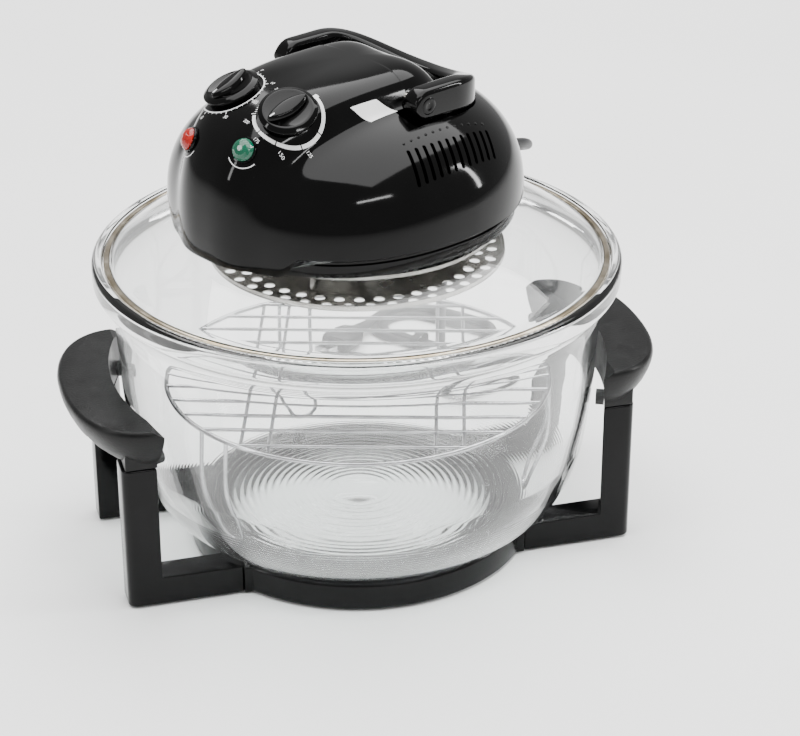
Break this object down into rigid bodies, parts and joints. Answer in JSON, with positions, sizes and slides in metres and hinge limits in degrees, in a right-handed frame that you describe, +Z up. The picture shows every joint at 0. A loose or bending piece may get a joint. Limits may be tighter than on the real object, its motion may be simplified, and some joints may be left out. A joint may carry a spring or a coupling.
{
  "type": "halogen bowl oven",
  "caption": "Table-top halogen bowl oven: glass bowl in a black stand with side handles, wire rack, and a glass lid with a heater and fan head, dials, vents and a folding bail handle.",
  "frame": {"origin": "on the table under the centre of the stand ring and bowl", "axes": "+Z up; +X towards one side handle; the front of the head looks along 206.6 degrees from +X towards +Y"},
  "size_m": [0.381, 0.475, 0.3273],
  "materials": {
    "black_gloss": "moulded, high gloss",
    "black_satin": "moulded, satin",
    "soft_rubber": "matte",
    "cord_black": "smooth sheath",
    "clear_glass": "clear, pressed",
    "lamp_glass": "clear quartz tube",
    "chrome_wire": "bright plated wire",
    "polished_band": "polished sheet band",
    "steel_sheet": "bright sheet",
    "white_ceramic": "matte insulator",
    "red_lens": "translucent, gloss",
    "green_lens": "translucent, gloss"
  },
  "bodies": {
    "base": {"base_ring": "black_gloss", "leg_front_left": "black_gloss", "leg_front_right": "black_gloss", "leg_rear_left": "black_gloss", "leg_rear_right": "black_gloss", "handle_left": "black_satin", "handle_right": "black_satin", "bowl_bumper_1": "soft_rubber", "bowl_bumper_2": "soft_rubber", "bowl_bumper_3": "soft_rubber", "bowl_bumper_4": "soft_rubber", "rubber_foot_1": "soft_rubber", "rubber_foot_2": "soft_rubber", "rubber_foot_3": "soft_rubber", "rubber_foot_4": "soft_rubber"},
    "bowl": {"glass_bowl": "clear_glass"},
    "rack": {"wire_rack": "chrome_wire"},
    "lid": {"lid_glass": "clear_glass", "lid_band": "polished_band", "head_base": "black_gloss", "head_shell": "black_gloss", "heat_shield": "steel_sheet", "element_guard": "steel_sheet", "guard_post_1": "steel_sheet", "guard_post_2": "steel_sheet", "guard_post_3": "steel_sheet", "halogen_lamp": "lamp_glass", "lamp_holder_left": "white_ceramic", "lamp_holder_right": "white_ceramic", "motor": "steel_sheet", "timer_mechanism": "steel_sheet", "thermostat": "steel_sheet", "safety_switch": "white_ceramic", "power_lens": "red_lens", "heat_lens": "green_lens", "bail_pin_left": "steel_sheet", "bail_pin_right": "steel_sheet", "strain_relief": "cord_black", "power_cord": "cord_black", "cord_hank": "cord_black", "cord_tie": "black_satin", "plug": "cord_black"},
    "bail": {"bail_handle": "black_gloss"},
    "timer_dial": {"timer_knob": "black_gloss"},
    "temperature_dial": {"temperature_knob": "black_gloss"},
    "fan": {"motor_shaft": "steel_sheet", "convection_fan": "steel_sheet", "cooling_fan": "steel_sheet"},
    "plunger": {"switch_plunger": "red_lens"}
  },
  "joints": [
    {"name": "bowl_lift", "type": "slide", "parent": "base", "child": "bowl", "axis": [0, 0, 1], "range_m": [0, 0.12]},
    {"name": "rack_lift", "type": "slide", "parent": "bowl", "child": "rack", "axis": [0, 0, 1], "range_m": [0, 0.18]},
    {"name": "lid_lift", "type": "slide", "parent": "rack", "child": "lid", "axis": [0, 0, 1], "range_m": [0, 0.15]},
    {"name": "bail_swing", "type": "hinge", "parent": "lid", "child": "bail", "pos_m": [0, 0, 0.3095], "axis": [0.4478, -0.8942, 0], "range_deg": [0, 90]},
    {"name": "timer_turn", "type": "hinge", "parent": "lid", "child": "timer_dial", "pos_m": [-0.07942, -0.01651, 0.31612], "axis": [-0.3745, -0.0742, 0.9243], "range_deg": [-300, 0]},
    {"name": "temperature_turn", "type": "hinge", "parent": "lid", "child": "temperature_dial", "pos_m": [-0.056, -0.05992, 0.31514], "axis": [-0.1713, -0.4663, 0.8679], "range_deg": [-270, 0]},
    {"name": "fan_spin", "type": "hinge", "parent": "lid", "child": "fan", "pos_m": [0, 0, 0.204], "axis": [0, 0, 1], "continuous": true},
    {"name": "plunger_travel", "type": "slide", "parent": "lid", "child": "plunger", "axis": [0, 0, 1], "range_m": [0, 0.003]}
  ],
  "couplings": [
    {"joint": "plunger_travel", "follows": "bail_swing", "m_per_rad": 0.0019}
  ]
}
